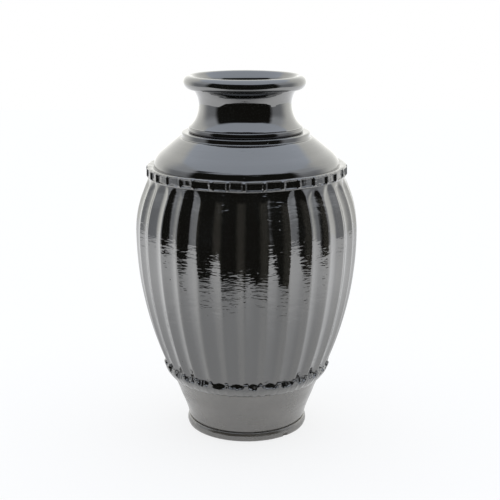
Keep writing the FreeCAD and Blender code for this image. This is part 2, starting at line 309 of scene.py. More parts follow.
@dataclass(frozen=True)
class BlackGlaze(Coating):
    """A thick lustrous black glaze that breaks lighter brown over an edge: partly thin glaze, partly painted
    highlight.

    The relief's sizes are in millimetres. The marks "thin" and "bare" of the piece say where the glaze runs
    thin and where the clay shows; the brown that "thin" brings is partly painted highlight on ridges and
    rims.
    """

    name: str = "black_glaze"
    title: str = "lustrous black glaze"
    deep: tuple = colour(0.0055, 0.0055, 0.0048)
    cloud: tuple = colour(0.009, 0.0095, 0.009)
    # brown of thin glaze, also painted on ridges and rims as highlight
    thin: tuple = colour(0.064, 0.058, 0.046)
    clay: tuple = colour(0.115, 0.088, 0.070)
    lustre: float = 2.28
    gloss: float = 0.035
    haze: float = 0.10
    pit_haze: float = 0.45
    clay_haze: float = 0.62
    chatter: float = 0.62
    brushing: float = 0.22
    brushing_everywhere: float = 0.12
    swell: float = 0.16
    peel: float = 0.012
    grit: float = 0.15
    pit_depth: float = 0.40
    pit_size: float = 0.085
    pits_per_metre: float = 88.0
    chatter_top: float = 0.292
    brushing_top: float = 0.338
    bare_below: float = 0.0013
    coat: float = 0.4

    def surface(
        self, graph: Graph, place: bpy.types.NodeSocket, axes: Axes
    ) -> tuple[dict[str, object], Value, float]:
        """Draws the glaze: its clouds, its thin edges with their painted highlight, bare clay, smears and
        pinholes.

        Args:
            graph: the material's graph.
            place: a point's place in the pot.
            axes: the three numbers of that place.

        Returns:
            The shader's inputs, the relief in millimetres, and how strongly the relief shows.
        """
        x, y, z = axes
        thin = self._mark(graph, "thin")
        bare = self._bare(graph, place, z)
        pits = self._pits(graph, place)
        clouds = graph.noise(place, 26.0, 3.0)
        tone = graph.blend(graph.ramp(clouds, 0.42, 0.68), self.deep, self.cloud)
        speckle = graph.noise(place, 420.0, 2.0)
        # Where the piece is marked thin, the tone turns lighter brown: partly thin glaze, partly painted
        # highlight.
        edge = graph.ramp(thin + (speckle - 0.5) * 0.5, 0.55, 1.05)
        tone = graph.blend(edge * 0.8, tone, self.thin)
        tone = graph.blend(bare, tone, self.clay)
        smear = graph.noise(graph.vector(x * 22.0, y * 22.0, z * 60.0), 1.0, 4.0, 0.6)
        rough = self.gloss + graph.ramp(smear, 0.45, 0.8) * self.haze + pits * self.pit_haze
        sockets = {
            "Base Color": tone,
            "Roughness": rough + bare * self.clay_haze,
            "IOR": self.lustre,
            "Coat Weight": (1.0 - graph.math("MAXIMUM", bare, pits)) * self.coat,
            "Coat Roughness": 0.02,
            "Coat IOR": 1.5,
        }
        relief = self._relief(graph, place, axes) + speckle * self.peel
        grit = graph.noise(place, 1500.0, 3.0)
        return sockets, relief + grit * bare * self.grit - pits * self.pit_depth, 1.0

    @staticmethod
    def _mark(graph: Graph, name: str) -> Value:
        """Returns a mark that the piece's mesh carries, or 0 where it has none."""
        made = graph.node("ShaderNodeAttribute", {"attribute_name": name})
        return Value(graph, made.outputs["Fac"])

    def _bare(self, graph: Graph, place: bpy.types.NodeSocket, z: Value) -> Value:
        """Finds where the clay shows: under the foot's wiped edge, and where the mesh is marked.

        Args:
            graph: the material's graph.
            place: a point's place in the pot.
            z: its height.

        Returns:
            1 on bare clay, and 0 under the glaze.
        """
        wobble = graph.noise(place, 160.0, 3.0) * (1.6 * MM)
        wiped = 1.0 - graph.ramp(z + wobble, self.bare_below, self.bare_below + 0.9 * MM)
        return graph.math("MAXIMUM", wiped, self._mark(graph, "bare"))

    def _pits(self, graph: Graph, place: bpy.types.NodeSocket) -> Value:
        """Finds a few pinholes: the middles of the cells that a random draw picks.

        Args:
            graph: the material's graph.
            place: a point's place in the pot.

        Returns:
            1 in a pinhole, and 0 beside it.
        """
        sockets = {"Vector": place, "Scale": self.pits_per_metre}
        cells = graph.node("ShaderNodeTexVoronoi", {"feature": "F1"}, sockets)
        draw = graph.axes(cells.outputs["Color"])[0]
        size = graph.ramp(draw, 0.66, 1.0) * self.pit_size
        distance = Value(graph, cells.outputs["Distance"])
        return 1.0 - graph.ramp(distance, size * 0.4, size + 0.001)

    def _relief(self, graph: Graph, place: bpy.types.NodeSocket, axes: Axes) -> Value:
        """Draws the chatter that runs across the wall, the brush marks on the shoulder, and a slow swell.

        Args:
            graph: the material's graph.
            place: a point's place in the pot.
            axes: the three numbers of that place.

        Returns:
            The relief in millimetres.
        """
        x, y, z = axes
        chatter = graph.noise(graph.vector(x * 62.0, y * 62.0, z * 250.0), 1.0, 2.0, 0.6)
        strength = graph.ramp(graph.noise(place, 24.0, 1.0), 0.34, 0.66)
        above = graph.ramp(z, self.chatter_top, self.chatter_top + 8.0 * MM)
        gouged = self.chatter * (0.22 + strength) * (1.0 - above)
        brush = graph.noise(graph.vector(x * 9.0, y * 9.0, z * 330.0), 1.0, 3.0, 0.65)
        below_rim = 1.0 - graph.ramp(z, self.brushing_top - 12.0 * MM, self.brushing_top)
        domed = above * below_rim + self.brushing_everywhere
        swell = graph.noise(graph.vector(x * 55.0, y * 55.0, z * 75.0), 1.0, 1.0)
        return chatter * gouged + brush * domed * self.brushing + swell * self.swell


@dataclass(frozen=True)
class InnerGlaze(Coating):
    """The thinner, duller glaze that was poured round the inside and out again."""

    name: str = "inner_glaze"
    title: str = "poured inner glaze"
    deep: tuple = colour(0.009, 0.008, 0.0075)
    thin: tuple = colour(0.045, 0.028, 0.018)
    gloss: float = 0.14
    haze: float = 0.30
    lustre: float = 1.75
    ring_relief: float = 0.18
    run_relief: float = 0.12
    peel: float = 0.02

    def surface(
        self, graph: Graph, place: bpy.types.NodeSocket, axes: Axes
    ) -> tuple[dict[str, object], Value, float]:
        """Draws the glaze, with the runs that it left on its way out.

        Args:
            graph: the material's graph.
            place: a point's place in the pot.
            axes: the three numbers of that place.

        Returns:
            The shader's inputs, the relief in millimetres, and how strongly the relief shows.
        """
        x, y, z = axes
        runs = graph.noise(graph.vector(x * 90.0, y * 90.0, z * 9.0), 1.0, 3.0)
        patches = graph.noise(place, 40.0, 4.0, 0.6)
        tone = graph.blend(graph.ramp(runs * patches, 0.22, 0.42), self.deep, self.thin)
        rings = graph.noise(graph.vector(x * 12.0, y * 12.0, z * 240.0), 1.0, 2.0)
        height = rings * self.ring_relief + runs * self.run_relief
        height = height + graph.noise(place, 600.0, 2.0) * self.peel
        rough = self.gloss + patches * self.haze
        return {"Base Color": tone, "Roughness": rough, "IOR": self.lustre}, height, 1.0


@dataclass(frozen=True)
class BareClay(Coating):
    """Dark fired clay with no glaze on it: gritty, with wire-cut marks and rubbed spots."""

    name: str = "bare_clay"
    title: str = "bare fired clay"
    dark: tuple = colour(0.050, 0.040, 0.034)
    light: tuple = colour(0.125, 0.098, 0.078)
    rough: float = 0.72
    patch_rough: float = 0.2
    grit_relief: float = 0.10
    wire_relief: float = 0.22
    patch_relief: float = 0.3
    strength: float = 0.9

    def surface(
        self, graph: Graph, place: bpy.types.NodeSocket, axes: Axes
    ) -> tuple[dict[str, object], Value, float]:
        """Draws the clay: its patches, its grit, and the bent lines that the cutting wire left.

        Args:
            graph: the material's graph.
            place: a point's place in the pot.
            axes: the three numbers of that place.

        Returns:
            The shader's inputs, the relief in millimetres, and how strongly the relief shows.
        """
        x, y, _ = axes
        patches = graph.noise(place, 34.0, 5.0, 0.62)
        grit = graph.noise(place, 1300.0, 3.0)
        bend = graph.noise(place, 9.0, 1.0) * 0.02
        wire = graph.noise(graph.vector((x + bend) * 60.0, (y + bend * x * 9.0) * 620.0, 0.0), 1.0, 2.0)
        tone = graph.blend(graph.ramp(patches * 0.8 + grit * 0.3, 0.38, 0.78), self.dark, self.light)
        height = grit * self.grit_relief + wire * self.wire_relief + patches * self.patch_relief
        rough = self.rough + patches * self.patch_rough
        return {"Base Color": tone, "Roughness": rough, "IOR": 1.45}, height, self.strength


class Finish(Enum):
    """The pot's finishes. Each one's name is shown in the log."""

    BLACK_GLAZE = BlackGlaze()
    # A lighter, warmer, rougher copy of the black glaze for the foot: partly a thinner satin glaze, partly
    # painted light that brightens the foot.
    FOOT_GLAZE = BlackGlaze(
        title="thin satin glaze of the foot",
        deep=colour(0.104, 0.092, 0.074),
        cloud=colour(0.130, 0.115, 0.093),
        thin=colour(0.150, 0.130, 0.104),
        gloss=0.20,
        haze=0.25,
        chatter=0.10,
        swell=0.10,
    )
    INNER_GLAZE = InnerGlaze()
    BARE_CLAY = BareClay()

    def material(self) -> bpy.types.Material:
        """Returns this finish's material, built the first time that it is asked for."""
        return bpy.data.materials.get(self.value.title) or self.value.material()


# ---------------------------------------------------------------------------------------------------
# Turned blanks
# ---------------------------------------------------------------------------------------------------


def spaced(radius: float, height: float, offsets: Sequence[Point], unit: float = MM) -> list[Point]:
    """Places outline points near a radius and a height.

    Args:
        radius: the radius that the points are placed from, in metres.
        height: the height that they are placed from, in metres.
        offsets: how far each point is out, in millimetres, and up, in units.
        unit: the unit of the upward offsets: a millimetre, or a piece's whole height.

    Returns:
        The points, in metres.
    """
    return [(radius + out * MM, height + up * unit) for out, up in offsets]


def straight(start: Point, end: Point, count: int) -> list[Point]:
    """Draws a straight stretch of outline.

    Args:
        start: its first point.
        end: its last point.
        count: how many points to return.

    Returns:
        The points, evenly spaced, without the last one.
    """
    shares = np.arange(count) / count
    return [(start[0] + (end[0] - start[0]) * s, start[1] + (end[1] - start[1]) * s) for s in shares]


def chain(*stretches: Point | int) -> list[Point]:
    """Draws straight stretches end to end.

    Args:
        stretches: a point, how many points the stretch from it has, the next point, and so on.

    Returns:
        The points, without the last one.
    """
    corners = stretches[::2]
    pieces = zip(corners, corners[1:], stretches[1::2])
    return [spot for start, end, count in pieces for spot in straight(start, end, count)]


def arc(start: Point, middle: Point, end: Point, count: int) -> list[Point]:
    """Draws the circular arc through three points.

    Args:
        start: its first point.
        middle: a point on it.
        end: its last point.
        count: how many points to return.

    Returns:
        The points, evenly spaced, without the last one.
    """
    (x1, y1), (x2, y2), (x3, y3) = start, middle, end
    twice = 2 * (x1 * (y2 - y3) + x2 * (y3 - y1) + x3 * (y1 - y2))
    s1, s2, s3 = x1**2 + y1**2, x2**2 + y2**2, x3**2 + y3**2
    x = (s1 * (y2 - y3) + s2 * (y3 - y1) + s3 * (y1 - y2)) / twice
    y = (s1 * (x3 - x2) + s2 * (x1 - x3) + s3 * (x2 - x1)) / twice
    radius = math.hypot(x1 - x, y1 - y)
    first = math.atan2(y1 - y, x1 - x)
    swept = (math.atan2(y3 - y, x3 - x) - first) % TURN
    if (math.atan2(y2 - y, x2 - x) - first) % TURN > swept:
        swept -= TURN
    angles = [first + swept * i / count for i in range(count)]
    return [(x + radius * math.cos(a), y + radius * math.sin(a)) for a in angles]


def through(points: Sequence[Point], count: int) -> list[Point]:
    """Returns points of a smooth curve through the given points, without its end.

    Args:
        points: what the curve passes through, as radius and height.
        count: how many points to return, evenly spaced along the curve.

    Returns:
        The curve's points. It is a centripetal Catmull-Rom curve, which doesn't overshoot.
    """
    knots = np.array(points, float)
    first = 2 * knots[0] - knots[1]
    last = 2 * knots[-1] - knots[-2]
    hull = np.vstack([first, knots, last])
    dense = []
    for p0, p1, p2, p3 in zip(hull, hull[1:], hull[2:], hull[3:]):
        steps = [math.sqrt(np.linalg.norm(b - a)) for a, b in ((p0, p1), (p1, p2), (p2, p3))]
        times = np.cumsum([0.0] + steps)
        t = np.linspace(times[1], times[2], CURVE_STEPS, endpoint=False)[:, None]
        a1 = p0 + (p1 - p0) * (t - times[0]) / (times[1] - times[0])
        a2 = p1 + (p2 - p1) * (t - times[1]) / (times[2] - times[1])
        a3 = p2 + (p3 - p2) * (t - times[2]) / (times[3] - times[2])
        b1 = a1 + (a2 - a1) * (t - times[0]) / (times[2] - times[0])
        b2 = a2 + (a3 - a2) * (t - times[1]) / (times[3] - times[1])
        dense.append(b1 + (b2 - b1) * (t - times[1]) / (times[2] - times[1]))
    line = np.vstack(dense + [knots[-1:]])
    length = np.concatenate([[0.0], np.cumsum(np.linalg.norm(np.diff(line, axis=0), axis=1))])
    wanted = np.arange(count) / count * length[-1]
    radii = np.interp(wanted, length, line[:, 0])
    return list(zip(radii.tolist(), np.interp(wanted, length, line[:, 1]).tolist()))


def turned(name: str, skin: Sequence[Point], back: Sequence[Point], columns: int) -> bpy.types.Object:
    """Turns an outline about the pot's axis.

    Args:
        name: the piece's name.
        skin: the outline's visible side, in the order that has the clay on its left.
        back: the rest of the outline, which closes it. A point at radius 0 is a pole.
        columns: how many columns of faces there are round the axis.

    Returns:
        The piece, a closed mesh whose faces point out. Its mark "skin" is 1 on the visible side.
    """
    outline = np.array([*skin, *back], float)
    is_pole = outline[:, 0] < ON_AXIS
    angles = np.arange(columns) * TURN / columns
    rows = []
    points = []
    marks = []
    for index, (radius, height) in enumerate(outline):
        here = len(points)
        ring = [(0.0, 0.0, height)]
        if not is_pole[index]:
            ring = [(radius * math.cos(a), radius * math.sin(a), height) for a in angles]
        points.extend(ring)
        marks.extend([1.0 if index < len(skin) else 0.0] * len(ring))
        rows.append(np.arange(here, here + len(ring)))
    faces = []
    pairs = list(zip(rows, rows[1:] + rows[:1]))
    for low, high in pairs:
        if len(low) == 1 and len(high) == 1:
            continue
        low_next = np.roll(low, -1)
        high_next = np.roll(high, -1)
        if len(low) == 1:
            faces.extend((int(low[0]), int(b), int(a)) for a, b in zip(high, high_next))
        elif len(high) == 1:
            faces.extend((int(a), int(b), int(high[0])) for a, b in zip(low, low_next))
        else:
            corners = np.stack([low, low_next, high_next, high], axis=1)
            faces.extend(map(tuple, corners.tolist()))
    mesh = bpy.data.meshes.new(name)
    mesh.from_pydata(points, [], faces)
    mesh.attributes.new("skin", "FLOAT", "POINT").data.foreach_set("value", marks)
    mesh.shade_smooth()
    piece = bpy.data.objects.new(name, mesh)
    bpy.context.scene.collection.objects.link(piece)
    return piece


# ---------------------------------------------------------------------------------------------------
# Hand work, as geometry nodes
# ---------------------------------------------------------------------------------------------------


class HandWork:
    """A geometry node tree that works a turned blank, with named inputs for its sizes."""

    def __init__(self, name: str, finish: Finish) -> None:
        """Starts the tree.

        Args:
            name: the tree's name.
            finish: the finish that its last node puts on the piece.
        """
        self.tree = bpy.data.node_groups.new(name, "GeometryNodeTree")
        self.graph = Graph(self.tree)
        self.finish = finish
        self.values: dict[str, float] = {}
        self.tree.interface.new_socket("Blank", in_out="INPUT", socket_type="NodeSocketGeometry")
        self.tree.interface.new_socket("Piece", in_out="OUTPUT", socket_type="NodeSocketGeometry")
        self.given = self.graph.node("NodeGroupInput")
        self.flow = self.given.outputs["Blank"]
        place = self.graph.node("GeometryNodeInputPosition").outputs[0]
        self.x, self.y, self.z = self.graph.axes(place)
        self.angle = self.graph.math("ARCTAN2", self.y, self.x)
        self.radius = (self.x * self.x + self.y * self.y) ** 0.5
        self.skin = self.mark("skin")

    def size(self, name: str, value: float) -> Value:
        """Adds a named input to the tree.

        Args:
            name: the input's name.
            value: what it is set to on the modifier.

        Returns:
            The input.
        """
        item = self.tree.interface.new_socket(name, in_out="INPUT", socket_type="NodeSocketFloat")
        self.values[item.identifier] = value
        found = [s for s in self.given.outputs if s.identifier == item.identifier][0]
        return Value(self.graph, found)

    def mark(self, name: str) -> Value:
        """Returns a number that the mesh's points carry."""
        made = self.graph.node("GeometryNodeInputNamedAttribute", {"data_type": "FLOAT"}, {"Name": name})
        return Value(self.graph, made.outputs[0])

    def store(self, name: str, value: Value) -> None:
        """Writes a number on the mesh's points, for the finish to read.

        Args:
            name: the number's name.
            value: the number.
        """
        made = self.graph.node(
            "GeometryNodeStoreNamedAttribute",
            {"data_type": "FLOAT", "domain": "POINT"},
            {"Geometry": self.flow, "Name": name, "Value": value},
        )
        self.flow = made.outputs["Geometry"]

    def ring_noise(self, angle: Value, scale: float, seed: Number, height: Number = 0.0) -> Value:
        """Adds noise that closes on itself round the axis.

        Args:
            angle: the angle at which it is read.
            scale: how fast it changes with the angle.
            seed: moves it elsewhere in the noise.
            height: the height at which it is read.

        Returns:
            The noise, from -0.5 to 0.5.
        """
        place = self.graph.vector(
            self.graph.math("COSINE", angle) * scale + seed,
            self.graph.math("SINE", angle) * scale,
            height,
        )
        return self.graph.noise(place, 1.0, 1.0) - 0.5

    def cells(self, count: Value, crowd: float) -> tuple[Value, Value, Value]:
        """Divides the circle into equal cells and crowds the mesh's columns towards their borders.

        Args:
            count: how many cells there are.
            crowd: how strongly the columns crowd, from 0 to 1.

        Returns:
            The cell's number, how far a point is from its middle (0) to its border (1), and the
            point's new angle.
        """
        turns = self.angle * (count / TURN) + count
        number = self.graph.math("FLOOR", turns)
        across = turns - number
        shift = self.graph.math("SINE", across * TURN) * (crowd / TURN)
        crowded = across - shift
        off_middle = abs(crowded * 2.0 - 1.0)
        angle = (number + crowded - count) * (TURN / count)
        return number, off_middle, angle

    def draw(self, number: Value, seed: Number) -> Value:
        """Draws a random number for each cell.

        Args:
            number: the cell's number.
            seed: which draw it is.

        Returns:
            The number drawn, from 0 to 1.
        """
        place = self.graph.vector(number, seed, 0.0)
        made = self.graph.node("ShaderNodeTexWhiteNoise", {"noise_dimensions": "3D"}, {"Vector": place})
        return Value(self.graph, made.outputs["Value"])

    def move_to(self, radius: Value, angle: Value, height: Value, shift: Number = 0.0) -> None:
        """Moves every point.

        Args:
            radius: its new distance from the axis.
            angle: its new angle round the axis.
            height: its new height.
            shift: how far it then moves along X.
        """
        x = radius * self.graph.math("COSINE", angle) + shift
        y = radius * self.graph.math("SINE", angle)
        place = self.graph.vector(x, y, height)
        made = self.graph.node("GeometryNodeSetPosition", sockets={"Geometry": self.flow, "Position": place})
        self.flow = made.outputs[0]

    def finished(self, blank: bpy.types.Object) -> bpy.types.Object:
        """Ends the tree, runs it on a blank and makes the result the blank's own plain mesh.

        Args:
            blank: the turned blank.

        Returns:
            The same object with the worked mesh, no modifier, and the finish on it.
        """
        real = self.graph.node("GeometryNodeRealizeInstances", sockets={0: self.flow})
        sockets = {"Geometry": real.outputs[0], "Material": self.finish.material()}
        dressed = self.graph.node("GeometryNodeSetMaterial", sockets=sockets)
        self.graph.node("NodeGroupOutput", sockets={0: dressed.outputs[0]})
        work = blank.modifiers.new(self.tree.name, "NODES")
        work.node_group = self.tree
        for identifier, value in self.values.items():
            work[identifier] = value
        ready = blank.evaluated_get(bpy.context.evaluated_depsgraph_get())
        mesh = bpy.data.meshes.new_from_object(ready)
        blank.modifiers.remove(work)
        blank.data = mesh
        mesh.name = blank.name
        mesh.shade_smooth()
        return blank


@dataclass
class Throwing:
    """The marks that turning leaves on a plain wall: faint rings, and a slow wobble out of round.

    A section that dried askew also leans to one side, by so much for each metre above a height.
    """

    ring_height: float = 0.10 * MM
    ring_pitch: float = 6.0 * MM
    wobble: float = 0.5 * MM
    lean: float = 0.0
    lean_from: float = 0.0
    seed: float = 1.0

    def work(self, blank: bpy.types.Object, finish: Finish) -> bpy.types.Object:
        """Marks a plain turned blank.

        Args:
            blank: the turned blank.
            finish: the finish to put on it.

        Returns:
            The same object, marked and dressed.
        """
        hand = HandWork(f"throwing_{blank.name}", finish)
        height = hand.size("Ring height", self.ring_height)
        pitch = hand.size("Ring pitch", self.ring_pitch)
        wobble = hand.size("Wobble", self.wobble)
        lean = hand.size("Lean", self.lean)
        base = hand.size("Lean from", self.lean_from)
        seed = hand.size("Seed", self.seed)
        rings = hand.ring_noise(hand.angle, 0.7, seed, hand.z / pitch)
        slow = hand.ring_noise(hand.angle, 0.9, seed + 7.0, hand.z * 9.0)
        radius = hand.radius + hand.skin * rings * height * 2.0 + slow * wobble
        above = hand.graph.math("MAXIMUM", hand.z - base, 0.0)
        hand.move_to(radius, hand.angle, hand.z, above * lean)
        return hand.finished(blank)


# ---------------------------------------------------------------------------------------------------
# The pot's sections
# ---------------------------------------------------------------------------------------------------


def top_of(node: str) -> float:
    """Returns the height of a solid's top."""
    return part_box(node)[1].z


def bottom_of(node: str) -> float:
    """Returns the height of a solid's underside."""
    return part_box(node)[0].z


def reach_of(node: str) -> float:
    """Returns a solid's largest radius."""
    low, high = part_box(node)
    return max(-low.x, high.x, -low.y, high.y)


def place_piece(piece: bpy.types.Object, node: str, finish: Finish) -> None:
    """Puts a finished piece in the place of its solid and reports it.

    Args:
        piece: the finished piece.
        node: the solid that it stands for.
        finish: its finish, whose name is logged.
    """
    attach(piece, BODY)
    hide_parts(node)
    log.info("%s: %d faces, %s", piece.name, len(piece.data.polygons), finish.value.name)


@dataclass
class PlainPiece:
    """A section of clay that is only turned: no press, gouge or chip."""

    name: str
    node: str
    finish: Finish
    marks: Throwing
    columns: int = 256

    def build(self, skin: Sequence[Point], back: Sequence[Point]) -> None:
        """Turns the piece, marks it, and puts it in its solid's place.

        Args:
            skin: the outline's visible side.
            back: the rest of the outline.
        """
        blank = turned(self.name, skin, back, self.columns)
        place_piece(self.marks.work(blank, self.finish), self.node, self.finish)


@dataclass
class FluteCount:
    """How the belly's flutes stand round the pot. The lower coil's dents line up with them."""

    count: int = 31
    columns_each: int = 20
    crowd: float = 0.45
    unevenness: float = 0.085
    start: float = 0.028
    seed: float = 3.0

    @property
    def columns(self) -> int:
        """How many columns a blank needs."""
        return self.count * self.columns_each

    def cells(self, hand: HandWork) -> tuple[Value, Value, Value]:
        """Divides a blank into flutes that are a little uneven.

        Args:
            hand: the hand work on the blank.

        Returns:
            The flute's number, how far a point is from its middle (0) to its ridge (1), and the
            point's new angle.
        """
        count = hand.size("Flutes", float(self.count))
        uneven = hand.size("Unevenness", self.unevenness)
        start = hand.size("Start", self.start)
        seed = hand.size("Seed", self.seed)
        number, off_middle, angle = hand.cells(count, self.crowd)
        wander = hand.ring_noise(angle, 2.3, seed, hand.z * 2.2)
        return number, off_middle, angle + wander * uneven + start


@dataclass
class Foot:
    """The foot ring, the floor inside it, the conical wall on it, and the smoothed coils inside."""

    crease_radius: float = 66.4 * MM
    joint_radius: float = 85.2 * MM
    wall: float = 8.0 * MM
    bevel: float = 6.0 * MM
    floor_radius: float = field(default_factory=lambda: reach_of("base_slab"))
    floor_gap: float = 0.05 * MM
    ring_wobble: float = 0.5 * MM
    chip_angle: float = math.radians(-50.0)
    chip_depth: float = 1.7 * MM
    chip_rise: float = 1.2 * MM
    coil_wall_lean: float = 4.8 * MM
    seam_coil_thickness: float = 3.6 * MM
    columns: int = 256

    def build(self) -> None:
        """Builds the foot's five pieces."""
        self.ring()
        self.slab()
        self.wall_cone()
        self.corner_coil()
        self.seam_coil()

    def ring(self) -> None:
        """The standing ring: a low roll of clay with a wiped edge and one small chip."""
        top = top_of("foot_ring")
        reach = reach_of("foot_ring")
        floor = self.floor_radius
        edge = (reach - 3.4 * MM, 0.0)
        crease = (self.crease_radius - 0.9 * MM, top + 0.3 * MM)
        side = [(-0.2, 0.34), (0.0, 0.52), (-0.25, 0.72), (-0.8, 0.87), (-1.4, 1.0)]
        skin = through([edge, (reach - 1.1 * MM, 1.2 * MM), *spaced(reach, 0.0, side, top), crease], 36)
        back = [
            *chain(crease, 6, (floor, top), 8, (floor, 0.4 * MM)),
            *straight((floor + 0.6 * MM, 0.0), edge, 8),
        ]
        blank = turned("foot_ring_glazed", skin, back, self.columns * 2)
        hand = HandWork("chipped_ring", Finish.FOOT_GLAZE)
        wobble = hand.size("Wobble", self.ring_wobble)
        chip = hand.size("Chip depth", self.chip_depth)
        where = hand.size("Chip angle", self.chip_angle)
        seed = hand.size("Seed", 5.0)
        away = abs(hand.angle - where) * reach
        ragged = hand.ring_noise(hand.angle, 30.0, seed, hand.z * 400.0)
        side = 1.0 - hand.graph.ramp(away + ragged * (3.0 * MM), 1.8 * MM, 3.4 * MM)
        low = 1.0 - hand.graph.ramp(hand.z + ragged * (2.0 * MM), 3.0 * MM, 4.6 * MM)
        broken = side * low * hand.skin
        slow = hand.ring_noise(hand.angle, 1.2, seed, hand.z * 20.0)
        small = hand.ring_noise(hand.angle, 9.0, seed + 3.0, hand.z * 120.0)
        radius = hand.radius + (slow * wobble + small * (0.35 * MM)) * hand.skin - broken * chip
        hand.move_to(radius, hand.angle, hand.z + broken * self.chip_rise)
        hand.store("bare", broken)
        place_piece(hand.finished(blank), "foot_ring", Finish.FOOT_GLAZE)

    def slab(self) -> None:
        """The floor: bare clay all over, with the wire's marks."""
        low = bottom_of("base_slab")
        high = top_of("base_slab")
        edge = self.floor_radius - self.floor_gap
        middle = 6.0 * MM
        skin = [(0.0, low), *straight((middle, low), (edge - 0.8 * MM, low), 24)]
        back = [
            *through([(edge - 0.8 * MM, low), (edge, low + 0.8 * MM), (edge, high - 0.8 * MM)], 8),
            *straight((edge - 0.8 * MM, high), (middle, high), 20),
            (0.0, high),
        ]
        marks = Throwing(ring_height=0.05 * MM, wobble=0.2 * MM, seed=11.0)
        PlainPiece("base_slab_cut", "base_slab", Finish.BARE_CLAY, marks).build(skin, back)

    def wall_cone(self) -> None:
        """The plain cone above the ring, a little undercut where it meets the ring."""
        low = bottom_of("foot_wall")
        head = (self.joint_radius, top_of("foot_wall"))
        bevel = (self.joint_radius - self.wall, head[1] - self.bevel)
        side = spaced(
            self.crease_radius,
            low,
            [(-1.3, 0.1), (-0.5, 1.1), (0.6, 4.0), (2.1, 10.0), (5.6, 20.0), (9.6, 30.0), (13.3, 40.0)],
        )
        crease = (self.crease_radius - 0.9 * MM, low + 0.1 * MM)
        back = chain(head, 6, bevel, 24, (self.floor_radius, low), 4, crease)
        marks = Throwing(ring_height=0.09 * MM, ring_pitch=5.0 * MM, wobble=0.6 * MM, seed=21.0)
        piece = PlainPiece("foot_wall_turned", "foot_wall", Finish.FOOT_GLAZE, marks)
        piece.build(through([*side, head], 110), back)

    def corner_coil(self) -> None:
        """The coil smoothed into the corner between the floor and the wall."""
        floor = top_of("base_slab")
        size = top_of("floor_corner_coil") - floor
        on_wall = (self.floor_radius + self.coil_wall_lean, top_of("floor_corner_coil"))
        middle = (on_wall[0] - size * 0.42, floor + size * 0.42)
        on_floor = (self.floor_radius - size, floor + 0.1 * MM)
        back = chain(on_floor, 6, (self.floor_radius, floor - 1.0 * MM), 8, on_wall)
        marks = Throwing(ring_height=0.2 * MM, wobble=0.8 * MM, seed=31.0)
        piece = PlainPiece("floor_corner_coil_smoothed", "floor_corner_coil", Finish.INNER_GLAZE, marks)
        piece.build(through([on_wall, middle, on_floor], 30), back)

    def seam_coil(self) -> None:
        """The coil smoothed over the foot joint from inside."""
        low = bottom_of("foot_seam_coil")
        high = top_of("foot_seam_coil")
        reach = reach_of("foot_seam_coil")
        run = (high - low) * 0.42
        ends = (reach, high), (reach - run, low)
        middle = (reach - run * 0.5 - self.seam_coil_thickness, (low + high) / 2)
        marks = Throwing(ring_height=0.2 * MM, wobble=0.8 * MM, seed=41.0)
        piece = PlainPiece("foot_seam_coil_smoothed", "foot_seam_coil", Finish.INNER_GLAZE, marks)
        piece.build(through([ends[0], middle, ends[1]], 40), straight(ends[1], ends[0], 16))


